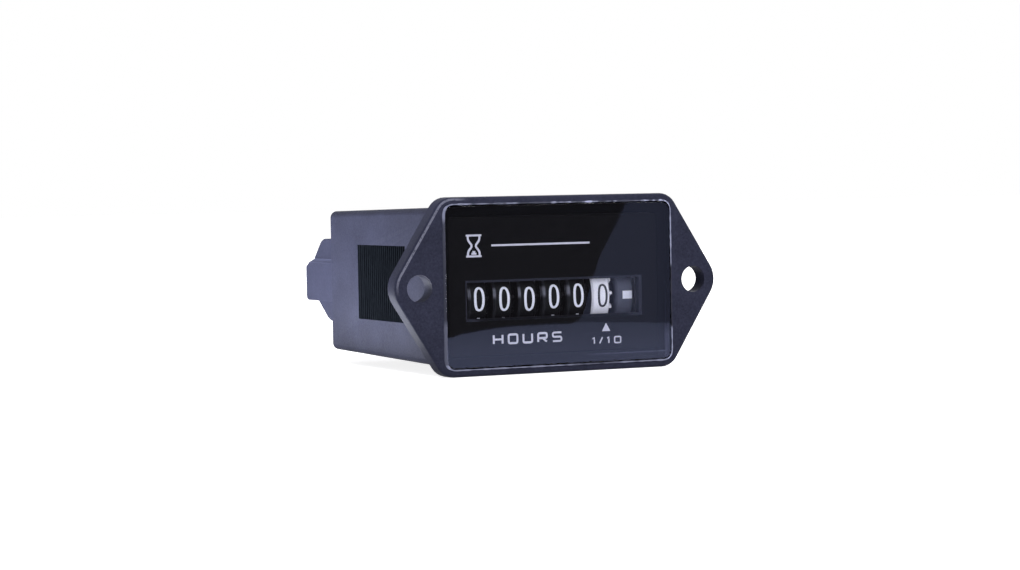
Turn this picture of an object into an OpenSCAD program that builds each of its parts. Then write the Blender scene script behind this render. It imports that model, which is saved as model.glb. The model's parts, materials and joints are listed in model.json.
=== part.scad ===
// Panel hour meter with a six-wheel counter, a run indicator and a quartz-timed step motor.
// Millimetres. Origin at the centre of the flange's back face, X right, Y into the panel, Z up.

/* [Number wheels] */
// Radius of a number wheel
wheel_r = 8; // [7.8:0.1:8.6]
// Distance from one wheel to the next along the shaft
wheel_pitch = 4.6; // [4.5:0.05:5]
// Width of a wheel's printed band
band_w = 3.35; // [3.2:0.05:3.45]
// Thickness of a wheel's rim
band_wall = 1.2; // [0.8:0.1:1.6]
// Bevel along the edges of a wheel's rim
band_bevel = 0.25; // [0.1:0.05:0.4]
// Radius of a wheel's hub
hub_r = 2; // [1.6:0.05:2.1]
// Thickness of the toothed ring on a wheel's right side
ring_t = 0.55; // [0.4:0.05:0.6]
// How far the ring's pitch circle lies inside the wheel's radius
ring_depth = 1; // [0.8:0.05:1.3]
// Space between a carry disc and the teeth of its pinion
carry_gap = 0.4; // [0.3:0.05:0.8]
// Diameter of the fixed shaft under the wheels
shaft_d = 2; // [1.6:0.1:2.4]
// Space between the left frame wall and the first band
left_margin = 2.2; // [1.6:0.1:3]

/* [Run indicator] */
// How far the drum lies under the number wheels' radius
drum_step = 0.6; // [0.3:0.1:1.2]
// Width of the indicator drum
drum_w = 3.3; // [2.5:0.1:4]
// Space between the tenths wheel and the drum
drum_lead = 1; // [0.8:0.1:1.6]

/* [Gear train] */
// Module of the motor pinion and its wheel
motor_module = 0.35; // [0.32:0.01:0.36]
// Thickness of the train's gears
gear_t = 0.55; // [0.4:0.05:0.6]
// Diameter of the fixed shaft under the carry pinions
pinion_shaft_d = 1.2; // [1:0.1:1.6]
// Diameter of the fixed pins of the second gear and the rotor
pin_d = 0.8; // [0.6:0.05:0.9]
// Angle of the carry pinions behind the wheels
pinion_angle = 15; // [10:1:20]
// Angle of the second gear behind the carry pinions
second_angle = 5.5; // [2:0.5:8]
// Angle of the rotor behind the second gear
rotor_angle = -5.5; // [-8:0.5:-2]
// Radial running clearance on shafts and pins
run_gap = 0.05; // [0.03:0.01:0.08]

/* [Motor and electronics] */
// Diameter of the rotor's magnet
magnet_d = 6; // [5:0.1:6.4]
// Length of the rotor's magnet
magnet_l = 2.2; // [1.6:0.1:2.4]
// Distance from the rotor to each end of the stator
stator_reach = 6; // [5.8:0.1:7]
// Thickness of the stator plate and the coil core
stator_t = 1; // [0.8:0.1:1.1]
// Diameter over the coil's winding
coil_d = 4.3; // [3.6:0.1:4.5]
// Thickness of the circuit board
board_t = 1.2; // [0.8:0.1:1.6]
// Diameter of the capacitor
capacitor_d = 6.3; // [5:0.1:8]
// Height of the capacitor
capacitor_h = 8; // [5:0.5:11]

/* [Frame] */
// Thickness of the counter frame's side walls
frame_wall = 0.9; // [0.7:0.1:1.2]
// Thickness of the counter frame's roof
roof_t = 1; // [0.8:0.1:1.4]
// Thickness of the plate that carries the motor
train_plate_t = 1; // [0.8:0.1:1.2]
// Side clearance of the frame in the case
frame_gap = 0.3; // [0.2:0.05:0.6]

/* [Dial and lens] */
// Thickness of the dial plate
dial_t = 1.5; // [1:0.1:2]
// Width of the counter window
window_w = 32; // [31:0.1:33.4]
// Height of the counter window
window_h = 5.9; // [5:0.1:8]
// Height of the window and the wheels' axis, from the middle of the face
window_z = -2.4; // [-3:0.1:-2]
// Bevel round the front of the window
window_bevel = 0.45; // [0.2:0.05:0.6]
// Thickness of the lens
lens_t = 1.9; // [1.6:0.1:2.2]
// How far the lens stands out of the flange
lens_proud = 0.2; // [0:0.05:0.5]
// Corner radius of the lens
lens_corner_r = 1.5; // [0.8:0.1:2.5]
// Bevel round the front of the lens
lens_bevel = 0.3; // [0.1:0.05:0.5]
// Width of the seat under the lens at its sides
ledge_w = 1.7; // [1.4:0.05:2.2]
// Width of the seat under the lens at its top and bottom
ledge_h = 2; // [1.6:0.05:2.4]

/* [Flange] */
// Distance between the two screw holes
hole_spacing = 50.8; // [49.5:0.1:56]
// Diameter of the screw holes
screw_hole_d = 4.4; // [3.5:0.1:5]
// Thickness of the flange
flange_t = 3; // [2.8:0.1:4]
// Width of the flange's rim above and below the lens
rim_h = 1.12; // [0.8:0.02:3]
// Radius of the four corners of the flange
corner_r = 3.3; // [2:0.1:4]
// Radius of the two lug tips
lug_tip_r = 4.3; // [3.6:0.05:5]
// Rounding of the flange's front edge
edge_r = 0.6; // [0.2:0.1:1]

/* [Case] */
// Thickness of the case's sides
wall = 1.6; // [1.2:0.1:2.2]
// Thickness of the case's rear wall
rear_wall = 1.8; // [1.4:0.1:2.6]
// Inward slope of the case's sides, per millimetre of depth
side_draft = 0.023; // [0.015:0.001:0.026]
// Inward slope of the case's top and bottom, per millimetre of depth
top_draft = 0.0143; // [0.01:0.0005:0.016]
// Space under the wheels
floor_gap = 0.85; // [0.6:0.05:1.5]
// Corner radius along the case
case_corner_r = 1.2; // [0.8:0.1:1.5]
// Depth of the ribbed panel in the left side
panel_depth = 0.4; // [0.2:0.05:0.6]
// Length of the ribbed panel
panel_l = 20.8; // [18:0.2:23]
// Height of the ribbed panel
panel_h = 12.8; // [9:0.1:14]
// Number of ribs in the panel
panel_ribs = 24; // [12:1:26]

/* [Plug shroud] */
// Width of the shroud behind the case
shroud_w = 38.4; // [36:0.1:39]
// Length of the shroud behind the case
shroud_l = 13; // [11:0.1:15]
// Height of the shroud's block
block_h = 7.7; // [7.4:0.1:8.6]
// Height over the ribs that brace the block
root_h = 14.7; // [12:0.1:16]
// Length of the upper rib along its top
top_ear_l = 6.6; // [4:0.1:7]
// Length of the lower rib along its bottom
low_ear_l = 3.8; // [2:0.1:5.5]
// Length of the slope at the end of the upper rib
top_slope_l = 3.8; // [2:0.1:4]
// Length of the slope at the end of the lower rib
low_slope_l = 5; // [3:0.1:5.5]
// How far the ribs lie in from the block's sides
ear_inset = 0.6; // [0:0.1:2]
// Bevel along the block's upper corners
block_bevel = 0.8; // [0.2:0.1:1]
// Drop of the sloped end of the block's top
block_slope = 1.6; // [0.8:0.1:1.8]
// Length of the sloped end of the block's top
block_slope_l = 2.8; // [2:0.1:3.6]
// Wall at the two ends of the socket
socket_wall = 1.3; // [1.1:0.05:1.4]
// Height of the socket
socket_h = 3.4; // [2.6:0.1:3.8]
// Distance between the two terminals
terminal_spacing = 19; // [18:0.1:20]
// Width of a terminal blade
blade_w = 6.3; // [4.8:0.1:6.4]
// Thickness of a terminal blade
blade_t = 0.8; // [0.5:0.05:1]

/* [Hidden] */
$fn = 64;
hull_fn = 32;
small_fn = 24;
eps = 0.01;

// Clearances shared by the pieces
fit_gap = 0.02;
side_gap = 0.2;
pinion_side_gap = 0.15;
wheel_gap = 0.35;
dial_gap = 0.05;
dial_side_gap = 0.2;
lens_gap = 0.1;
end_gap = 0.25;

// Teeth of the train
ring_teeth = 20;
pinion_teeth = 8;
drive_teeth = 32;
drum_teeth = 12;
second_teeth = 40;
ring_module = 2 * (wheel_r - ring_depth) / ring_teeth;
drive_module = ring_module * (ring_teeth + pinion_teeth) / (drive_teeth + drum_teeth);

// Tooth form: heights in modules, and half widths as shares of half the tooth spacing
addendum = 0.85;
dedendum = 1.15;
root_share = 0.56;
pitch_share = 0.4;
tip_share = 0.16;

// Wheel and drum details
wheel_web_t = 0.8;
drum_web_t = 0.6;
drum_wall = 1;
notch_r = 0.55;
notch_step = 14;
half_digit = 18;

// Places along the shaft, from the left frame wall to the right one
last_wheel = 5;
frame_inner_w = left_margin + last_wheel * wheel_pitch + band_w + ring_t + drum_lead + drum_w
    + side_gap + gear_t + end_gap;
wall_x = frame_inner_w / 2;
function band_x(i) = -wall_x + left_margin + i * wheel_pitch;
carry_space = wheel_pitch - band_w;
carry_disc_t = carry_space - ring_t - side_gap;
carry_pinion_w = carry_space - 2 * pinion_side_gap;
tenths_ring_x = band_x(last_wheel) + band_w;
tenths_end_x = tenths_ring_x + ring_t;
drum_x = tenths_end_x + drum_lead;
train_x = drum_x + drum_w + side_gap;
train_plate_gap = 0.75;
train_plate_x = tenths_ring_x - train_plate_gap - train_plate_t;
bay_x = train_plate_x + train_plate_t;
sleeve_x = bay_x + side_gap;
sleeve_end_x = wall_x - side_gap;

// Places from the flange's back face towards the rear
lens_back_y = lens_t - lens_proud - flange_t;
lens_front_y = lens_back_y - lens_t;
dial_y = lens_back_y + dial_gap;
dial_back_y = dial_y + dial_t;
wheel_y = dial_back_y + wheel_gap + wheel_r;
wheel_z = window_z;
pinion_arm = ring_module * (ring_teeth + pinion_teeth) / 2;
second_arm = drive_module * (drive_teeth + pinion_teeth) / 2;
rotor_arm = motor_module * (second_teeth + pinion_teeth) / 2;
carry_disc_r = pinion_arm - ring_module * (pinion_teeth / 2 + addendum) - carry_gap;
drum_r = wheel_r - drum_step;
function step(from, arm, angle) = [from[0] + arm * cos(angle), from[1] + arm * sin(angle)];
wheel_axis = [wheel_y, wheel_z];
pinion_axis = step(wheel_axis, pinion_arm, pinion_angle);
second_axis = step(pinion_axis, second_arm, second_angle);
rotor_axis = step(second_axis, rotor_arm, rotor_angle);
stator_to_board = 1.1;
board_y = rotor_axis[0] + stator_reach + stator_to_board;
board_back_y = board_y + board_t;
post_l = 1.6;
case_floor_y = board_back_y + post_l;
case_rear_y = case_floor_y + rear_wall;

// Case, lens and flange grow from what they hold
case_w = 2 * (wall_x + frame_wall + frame_gap + wall + side_draft * board_y);
case_h = 2 * (wheel_r - window_z + floor_gap + wall + top_draft * wheel_y);
function case_w_at(y) = case_w - 2 * side_draft * y;
function case_h_at(y) = case_h - 2 * top_draft * y;
mouth_w = case_w - 2 * wall;
mouth_h = case_h - 2 * wall;
lens_w = mouth_w + 2 * ledge_w;
lens_h = mouth_h + 2 * ledge_h;
rebate_w = lens_w + 2 * lens_gap;
rebate_h = lens_h + 2 * lens_gap;
flange_h = rebate_h + 2 * rim_h;
corner_inset = 1.7;
edge_angles = [30, 60, 90];
dial_w = case_w_at(dial_back_y) - 2 * wall - 2 * dial_side_gap;
dial_h = case_h_at(dial_back_y) - 2 * wall - 2 * dial_side_gap;
panel_y = 13;
panel_z = 0.1;

// Counter frame
frame_top_z = case_h_at(board_y) / 2 - wall - frame_gap;
roof_z = frame_top_z - roof_t;
tie_w = 2.4;
tie_t = 0.8;
tie_z = -frame_top_z;
tie_gap = 0.1;
plate_wheel_gap = 0.3;
train_plate_z = tie_z + tie_t + tie_gap;
train_plate_y = wheel_y + wheel_r + plate_wheel_gap;
post_r = 1.5;
post_roof_gap = 0.4;
post_low = [(pinion_axis[0] + second_axis[0]) / 2, tie_z + tie_t + post_r];
post_high_back = 4.5;
post_high = [rotor_axis[0] + post_high_back, roof_z - post_r - post_roof_gap];
screw_r = 0.6;
screw_l = 5;
screw_head_r = 1.2;
screw_head_h = 0.8;

// Motor
magnet_gap = 0.4;
stator_hole_r = magnet_d / 2 + magnet_gap;
stator_band = 1;
stator_leg_w = 2;
core_w = 1.6;
coil_flange = 4.6;
coil_flange_t = 0.5;
coil_gap = 0.05;
bobbin_wall = 0.35;
bobbin_r = norm([stator_t / 2 + coil_gap, core_w / 2 + coil_gap]) + bobbin_wall;
bobbin_corner_r = 0.4;
pin_end = 0.4;
coil_lift = 0.15;
coil_z = coil_lift + coil_flange / 2 - frame_top_z;
coil_drop = rotor_axis[1] - coil_z;
core_stand = 2.2;
core_x = bay_x + core_stand;
stator_x = core_x + stator_t;
magnet_x = stator_x + stator_t / 2 - magnet_l / 2;
second_wheel_x = magnet_x + magnet_l + side_gap;
pinion_lead = 0.1;
motor_pinion_x = second_wheel_x - pinion_lead;
motor_pinion_w = gear_t + 2 * pinion_lead;
sleeve_wall = 0.5;
pin_r = pin_d / 2;
sleeve_r = pin_r + sleeve_wall;
coil_pin_r = 0.2;
coil_pin_in = 1.9;
boss_r = stator_leg_w / 2 - coil_gap;
coil_screw_r = 0.5;
coil_screw_head_r = 1;
coil_screw_head_h = 0.6;
leg_y = [rotor_axis[0] - stator_reach + stator_leg_w / 2, rotor_axis[0] + stator_reach - stator_leg_w / 2];
coil_y = rotor_axis[0] - stator_reach + stator_leg_w + coil_gap;
coil_l = 2 * (stator_reach - stator_leg_w - coil_gap);
coil_x = core_x + stator_t / 2;

// Board and terminals
board_side_in = 0.3;
board_top_in = 0.1;
board_w = 2 * (wall_x + frame_wall - board_side_in);
board_h = 2 * (frame_top_z - board_top_in);
post_in = 2;
board_post_r = 1.2;
chip_at = [-3, 4.5];
chip_w = 4;
chip_h = 5;
chip_t = 1.4;
chip_stand = 0.2;
chip_lead_w = 0.4;
chip_lead_t = 0.2;
chip_lead_step = 1.27;
chip_leads = 4;
chip_lead_out = 1;
crystal_at = [-14, 5];
crystal_r = 1;
crystal_l = 6;
crystal_foot = 0.4;
capacitor_at = [-9, -3.5];
capacitor_groove_in = 1.6;
capacitor_groove = 0.3;
resistor_at = [2, 4];
resistor_r = 0.9;
resistor_l = 4;
diode_at = [5, 4];
diode_r = 0.8;
diode_l = 3;
lead_r = 0.25;
lead_out = 1;
lead_lift = 0.1;
solder_gap = 0.05;
tail_w = 2.5;
shoulder_out = 0.7;
shoulder_l = 1.2;
shoulder_w = blade_w + 2 * shoulder_out;
shoulder_y = case_floor_y - shoulder_l;
slot_gap = 0.1;
socket_floor = 2;
blade_inset = 2;
socket_floor_y = case_rear_y + socket_floor;
blade_end_y = case_rear_y + shroud_l - blade_inset;
blade_tip = 1.2;
blade_hole_r = 0.85;
blade_hole_in = 4;

// Colours
dark_plastic = [0.16, 0.16, 0.18];
black_plastic = [0.05, 0.05, 0.06];
white_plastic = [0.9, 0.9, 0.92];
frame_plastic = [0.35, 0.36, 0.38];
gear_plastic = [0.85, 0.82, 0.72];
steel = [0.72, 0.73, 0.75];
brass = [0.78, 0.62, 0.3];
copper = [0.72, 0.4, 0.2];
board_green = [0.1, 0.35, 0.2];

// Draws its children in the Y-Z plane at a point of it and extrudes or turns them towards +X from x
module along_x(x, at = [0, 0]) {
    translate([x, at[0], at[1]]) rotate([90, 0, 90]) children();
}

// Extrudes a face drawn in X and Z from y over a thickness towards +Y
module plate_y(y, t) {
    translate([0, y + t, 0]) rotate([90, 0, 0]) linear_extrude(t) children();
}

module rounded_rect(w, h, r) {
    square([w - 2 * r, h], center = true);
    square([w, h - 2 * r], center = true);
    for (sx = [-1, 1], sy = [-1, 1])
        translate([sx * (w / 2 - r), sy * (h / 2 - r)]) circle(r);
}

// One tooth's outline, centred on an angle
function tooth(n, m, angle) = [
    for (p = [[-dedendum, -root_share], [0, -pitch_share], [addendum, -tip_share],
              [addendum, tip_share], [0, pitch_share], [-dedendum, root_share]])
        let (r = n * m / 2 + p[0] * m, a = angle + p[1] * 180 / n) [r * cos(a), r * sin(a)]
];

// Gear outline with a tooth at the phase angle; every is 2 where each second tooth is cut back
module gear_2d(n, m, phase, every = 1) {
    polygon([for (k = [0 : every : n - 1]) each tooth(n, m, phase + 360 * k / n)]);
}

// Phase of a gear of nb teeth that meshes, at the angle theta, with one of na teeth at phase alpha
function mesh_phase(theta, na, alpha, nb) = theta + 180 + 180 / nb - (alpha - theta) * na / nb;

ring_phase = pinion_angle;
pinion_phase = mesh_phase(pinion_angle, ring_teeth, ring_phase, pinion_teeth);
drum_phase = pinion_angle + 180 / drum_teeth;
drive_phase = pinion_angle + 180;
second_pinion_phase = mesh_phase(second_angle, drive_teeth, drive_phase, pinion_teeth);
second_phase = rotor_angle;
rotor_phase = mesh_phase(rotor_angle, second_teeth, second_phase, pinion_teeth);

// Housing

module flange_corner(x, z, r) {
    translate([x, 0, z]) rotate([90, 0, 0]) {
        cylinder(r = r, h = flange_t - edge_r, $fn = hull_fn);
        for (a = edge_angles)
            cylinder(r = r - edge_r * (1 - cos(a)), h = flange_t - edge_r + edge_r * sin(a), $fn = hull_fn);
    }
}

module flange() {
    hull() {
        for (sx = [-1, 1]) {
            flange_corner(sx * hole_spacing / 2, 0, lug_tip_r);
            for (sz = [-1, 1])
                flange_corner(sx * (lens_w / 2 - corner_inset), sz * (flange_h / 2 - corner_r), corner_r);
        }
    }
}

module layer(w, h, r, y) {
    for (sx = [-1, 1], sz = [-1, 1])
        translate([sx * (w / 2 - r), y, sz * (h / 2 - r)]) rotate([90, 0, 0])
            cylinder(r = r, h = eps, $fn = hull_fn);
}

module case_outer() {
    start_y = lens_back_y;
    hull() {
        layer(case_w_at(start_y), case_h_at(start_y), case_corner_r, start_y);
        layer(case_w_at(case_rear_y), case_h_at(case_rear_y), case_corner_r, case_rear_y - edge_r);
        layer(case_w_at(case_rear_y) - edge_r, case_h_at(case_rear_y) - edge_r, case_corner_r, case_rear_y);
    }
}

module case_inner() {
    start_y = lens_back_y;
    inner_r = case_corner_r / 2;
    hull() {
        layer(case_w_at(start_y) - 2 * wall, case_h_at(start_y) - 2 * wall, inner_r, start_y);
        layer(case_w_at(case_floor_y) - 2 * wall, case_h_at(case_floor_y) - 2 * wall, inner_r, case_floor_y);
    }
}

// Side view of the shroud's block, in Y and Z from the case's rear face
module block_outline() {
    half = block_h / 2;
    polygon([
        [-rear_wall / 2, -half], [shroud_l, -half], [shroud_l, half - block_slope],
        [shroud_l - block_slope_l, half], [-rear_wall / 2, half]
    ]);
}

// Side view of the ribs that brace the block above and below
module ear_outline() {
    half = block_h / 2;
    ear = root_h / 2;
    polygon([
        [-rear_wall / 2, -ear], [low_ear_l, -ear], [low_ear_l + low_slope_l, -half],
        [top_ear_l + top_slope_l, half], [top_ear_l, ear], [-rear_wall / 2, ear]
    ]);
}

module shroud() {
    half_w = shroud_w / 2;
    half = block_h / 2;
    intersection() {
        along_x(-half_w, [case_rear_y, 0]) linear_extrude(shroud_w) block_outline();
        plate_y(case_floor_y, 2 * shroud_l)
            polygon([
                [-half_w, -half], [half_w, -half], [half_w, half - block_bevel], [half_w - block_bevel, half],
                [block_bevel - half_w, half], [-half_w, half - block_bevel]
            ]);
    }
    along_x(ear_inset - half_w, [case_rear_y, 0]) linear_extrude(shroud_w - 2 * ear_inset) ear_outline();
}

module panel_cut() {
    pitch = panel_l / panel_ribs;
    outside = 1;
    translate([-case_w / 2, 0, 0]) rotate([0, 0, -atan(side_draft)])
        translate([-outside, panel_y, panel_z - panel_h / 2])
            difference() {
                cube([outside + panel_depth, panel_l, panel_h]);
                for (k = [1 : panel_ribs - 1])
                    translate([outside, k * pitch - pitch / 4, -eps])
                        cube([outside, pitch / 2, panel_h + 2 * eps]);
            }
}

module housing() {
    color(dark_plastic) {
        difference() {
            union() {
                flange();
                case_outer();
                shroud();
            }
            plate_y(lens_back_y - 2 * lens_t, 2 * lens_t) rounded_rect(rebate_w, rebate_h, lens_corner_r);
            case_inner();
            for (sx = [-1, 1]) {
                translate([sx * hole_spacing / 2, eps, 0]) rotate([90, 0, 0])
                    cylinder(d = screw_hole_d, h = flange_t + 2 * eps);
                translate([sx * terminal_spacing / 2, 0, 0])
                    plate_y(case_floor_y - eps, shroud_l)
                        square([blade_w + 2 * slot_gap, blade_t + 2 * slot_gap], center = true);
            }
            plate_y(socket_floor_y, shroud_l)
                square([shroud_w - 2 * socket_wall, socket_h], center = true);
            panel_cut();
        }
        for (sx = [-1, 1], sz = [-1, 1])
            translate([sx * (board_w / 2 - post_in), 0, sz * (board_h / 2 - post_in)])
                plate_y(case_floor_y - post_l, post_l + rear_wall / 2) circle(board_post_r);
    }
}

module lens() {
    straight = lens_t - lens_bevel;
    color([0.75, 0.8, 0.85, 0.3]) {
        plate_y(lens_back_y - straight, straight) rounded_rect(lens_w, lens_h, lens_corner_r);
        hull() {
            plate_y(lens_back_y - straight, eps) rounded_rect(lens_w, lens_h, lens_corner_r, $fn = hull_fn);
            plate_y(lens_front_y, eps)
                rounded_rect(lens_w - 2 * lens_bevel, lens_h - 2 * lens_bevel, lens_corner_r, $fn = hull_fn);
        }
    }
}

module dial_plate() {
    color(black_plastic)
        difference() {
            plate_y(dial_y, dial_t) square([dial_w, dial_h], center = true);
            translate([0, 0, window_z]) {
                plate_y(dial_y - eps, dial_t + 2 * eps) square([window_w, window_h], center = true);
                hull() {
                    plate_y(dial_y - eps, eps)
                        square([window_w + 2 * window_bevel, window_h + 2 * window_bevel], center = true);
                    plate_y(dial_y + window_bevel, eps) square([window_w, window_h], center = true);
                }
            }
        }
}

// Frame and plates

// A round hole along X through everything from x over a length
module bore_x(x, l, r, at) {
    along_x(x - eps, at) cylinder(r = r, h = l + 2 * eps);
}

module counter_frame() {
    outer_w = frame_inner_w + 2 * frame_wall;
    depth = board_y - dial_back_y;
    color(frame_plastic)
        difference() {
            union() {
                translate([-outer_w / 2, dial_back_y, roof_z]) cube([outer_w, depth, roof_t]);
                for (x = [-outer_w / 2, wall_x])
                    translate([x, dial_back_y, -frame_top_z]) cube([frame_wall, depth, 2 * frame_top_z]);
                translate([-outer_w / 2, second_axis[0] - tie_w / 2, tie_z]) cube([outer_w, tie_w, tie_t]);
                for (p = [post_low, post_high])
                    along_x(bay_x, p) cylinder(r = post_r, h = wall_x + frame_wall / 2 - bay_x);
            }
            bore_x(-outer_w / 2, outer_w, shaft_d / 2 + fit_gap, wheel_axis);
            bore_x(-outer_w / 2, outer_w, pinion_shaft_d / 2 + fit_gap, pinion_axis);
            bore_x(wall_x, frame_wall, pin_r + fit_gap, second_axis);
            bore_x(wall_x, frame_wall, pin_r + fit_gap, rotor_axis);
            for (p = [post_low, post_high])
                bore_x(bay_x, screw_l - train_plate_t, screw_r + fit_gap, p);
        }
}

module train_plate() {
    color(frame_plastic)
        difference() {
            union() {
                translate([train_plate_x, train_plate_y, train_plate_z])
                    cube([train_plate_t, board_y - train_plate_y, roof_z - train_plate_z]);
                for (y = leg_y)
                    along_x(bay_x, [y, coil_z]) cylinder(r = boss_r, h = core_x - bay_x);
            }
            bore_x(train_plate_x, train_plate_t, pinion_shaft_d / 2 + fit_gap, pinion_axis);
            bore_x(train_plate_x, train_plate_t, pin_r + fit_gap, second_axis);
            bore_x(train_plate_x, train_plate_t, pin_r + fit_gap, rotor_axis);
            for (p = [post_low, post_high])
                bore_x(train_plate_x, train_plate_t, screw_r + fit_gap, p);
            for (y = leg_y)
                bore_x(bay_x, core_x - bay_x, coil_screw_r + fit_gap, [y, coil_z]);
        }
}

module train_screws() {
    color(steel)
        for (p = [post_low, post_high]) {
            along_x(train_plate_x - screw_head_h, p) cylinder(r = screw_head_r, h = screw_head_h);
            along_x(train_plate_x - eps, p) cylinder(r = screw_r, h = screw_l - eps);
        }
}

module wheel_shaft() {
    color(steel)
        along_x(-wall_x - frame_wall, wheel_axis) cylinder(d = shaft_d, h = frame_inner_w + 2 * frame_wall);
}

module pinion_shaft() {
    color(steel)
        along_x(-wall_x - frame_wall, pinion_axis)
            cylinder(d = pinion_shaft_d, h = frame_inner_w + 2 * frame_wall);
}

module train_pin(at) {
    color(steel)
        along_x(train_plate_x, at) cylinder(r = pin_r, h = wall_x + frame_wall - train_plate_x);
}

// Counter

// Two carry teeth stand between three notches in the edge of the disc
module carry_disc_2d() {
    difference() {
        circle(carry_disc_r);
        for (k = [-1 : 1])
            rotate(pinion_angle + half_digit + k * notch_step)
                translate([carry_disc_r, 0]) circle(notch_r, $fn = small_fn);
    }
}

module number_wheel(i, tint) {
    first = i == 0;
    hub_x = first ? side_gap - left_margin : -carry_disc_t;
    inner_r = wheel_r - band_wall;
    color(tint)
        along_x(band_x(i), wheel_axis)
            difference() {
                union() {
                    rotate_extrude()
                        polygon([
                            [inner_r, 0], [wheel_r - band_bevel, 0], [wheel_r, band_bevel],
                            [wheel_r, band_w - band_bevel], [wheel_r - band_bevel, band_w], [inner_r, band_w]
                        ]);
                    translate([0, 0, band_w - wheel_web_t])
                        cylinder(r = inner_r + band_wall / 4, h = wheel_web_t);
                    translate([0, 0, band_w - eps])
                        linear_extrude(ring_t + eps) gear_2d(ring_teeth, ring_module, ring_phase);
                    translate([0, 0, hub_x]) cylinder(r = hub_r, h = band_w + ring_t - hub_x);
                    if (!first)
                        translate([0, 0, -carry_disc_t]) linear_extrude(carry_disc_t) carry_disc_2d();
                }
                translate([0, 0, hub_x - eps])
                    cylinder(r = shaft_d / 2 + run_gap, h = band_w + ring_t - hub_x + 2 * eps);
            }
}

// Full teeth run in the ring of the wheel on the left; each second tooth goes on beside the carry disc
module carry_pinion(i) {
    ring_part = ring_t - pinion_side_gap + side_gap / 2;
    color(gear_plastic)
        along_x(band_x(i) + band_w + pinion_side_gap, pinion_axis)
            difference() {
                union() {
                    linear_extrude(ring_part) gear_2d(pinion_teeth, ring_module, pinion_phase);
                    linear_extrude(carry_pinion_w) gear_2d(pinion_teeth, ring_module, pinion_phase, 2);
                }
                translate([0, 0, -eps])
                    cylinder(r = pinion_shaft_d / 2 + run_gap, h = carry_pinion_w + 2 * eps);
            }
}

module run_indicator() {
    hub_x = tenths_end_x + side_gap;
    end_x = train_x + gear_t;
    inner_r = drum_r - drum_wall;
    color(dark_plastic)
        difference() {
            union() {
                along_x(drum_x, wheel_axis) rotate_extrude()
                    polygon([
                        [inner_r, 0], [drum_r - band_bevel, 0], [drum_r, band_bevel],
                        [drum_r, drum_w - band_bevel], [drum_r - band_bevel, drum_w], [inner_r, drum_w]
                    ]);
                along_x(drum_x + drum_w - drum_web_t, wheel_axis)
                    cylinder(r = inner_r + drum_wall / 2, h = drum_web_t);
                along_x(hub_x, wheel_axis) cylinder(r = hub_r, h = end_x - hub_x);
                along_x(train_x, wheel_axis)
                    linear_extrude(gear_t) gear_2d(drum_teeth, drive_module, drum_phase);
            }
            bore_x(hub_x, end_x - hub_x, shaft_d / 2 + run_gap, wheel_axis);
        }
}

// Train

module sleeve(r, bore_r, at) {
    difference() {
        union() {
            along_x(sleeve_x, at) cylinder(r = r, h = sleeve_end_x - sleeve_x);
            children();
        }
        bore_x(sleeve_x, sleeve_end_x - sleeve_x, bore_r, at);
    }
}

module drive_gear() {
    color(gear_plastic)
        sleeve(pinion_shaft_d / 2 + sleeve_wall, pinion_shaft_d / 2 + run_gap, pinion_axis) {
            along_x(tenths_ring_x + pinion_lead, pinion_axis)
                linear_extrude(ring_t) gear_2d(pinion_teeth, ring_module, pinion_phase);
            along_x(train_x, pinion_axis)
                linear_extrude(gear_t) gear_2d(drive_teeth, drive_module, drive_phase);
        }
}

module second_gear() {
    color(gear_plastic)
        sleeve(sleeve_r, pin_r + run_gap, second_axis) {
            along_x(second_wheel_x, second_axis)
                linear_extrude(gear_t) gear_2d(second_teeth, motor_module, second_phase);
            along_x(train_x, second_axis)
                linear_extrude(sleeve_end_x - train_x)
                    gear_2d(pinion_teeth, drive_module, second_pinion_phase);
        }
}

module rotor_pinion() {
    color(gear_plastic)
        sleeve(sleeve_r, pin_r + run_gap, rotor_axis)
            along_x(motor_pinion_x, rotor_axis)
                linear_extrude(motor_pinion_w) gear_2d(pinion_teeth, motor_module, rotor_phase);
}

module rotor_magnet() {
    color([0.25, 0.25, 0.27])
        difference() {
            along_x(magnet_x, rotor_axis) cylinder(d = magnet_d, h = magnet_l);
            bore_x(magnet_x, magnet_l, sleeve_r + fit_gap, rotor_axis);
        }
}

// Motor

module stator() {
    leg_in = stator_reach - stator_leg_w / 2;
    color(steel)
        along_x(stator_x, rotor_axis) linear_extrude(stator_t)
            difference() {
                union() {
                    square([2 * stator_reach, 2 * (stator_hole_r + stator_band)], center = true);
                    for (s = [-1, 1])
                        translate([s * leg_in - stator_leg_w / 2, -coil_drop - boss_r])
                            square([stator_leg_w, coil_drop]);
                }
                circle(stator_hole_r);
                for (s = [-1, 1])
                    translate([s * leg_in, -coil_drop]) circle(coil_screw_r + fit_gap);
            }
}

module coil_core() {
    leg_in = stator_reach - stator_leg_w / 2;
    color(steel)
        along_x(core_x, [rotor_axis[0], coil_z]) linear_extrude(stator_t)
            difference() {
                union() {
                    square([2 * stator_reach, core_w], center = true);
                    for (s = [-1, 1])
                        translate([s * leg_in, 0]) square([stator_leg_w, 2 * boss_r], center = true);
                }
                for (s = [-1, 1])
                    translate([s * leg_in, 0]) circle(coil_screw_r + fit_gap);
            }
}

module coil_tube(outer_r, inner_r, y, l) {
    translate([coil_x, 0, coil_z]) plate_y(y, l)
        difference() {
            circle(outer_r);
            circle(inner_r);
        }
}

module coil_bobbin() {
    color(white_plastic)
        translate([coil_x, 0, coil_z])
            difference() {
                union() {
                    plate_y(coil_y, coil_l) circle(bobbin_r);
                    for (y = [coil_y, coil_y + coil_l - coil_flange_t])
                        plate_y(y, coil_flange_t) rounded_rect(coil_flange, coil_flange, bobbin_corner_r);
                }
                plate_y(coil_y - eps, coil_l + 2 * eps)
                    square([stator_t + 2 * coil_gap, core_w + 2 * coil_gap], center = true);
            }
}

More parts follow.
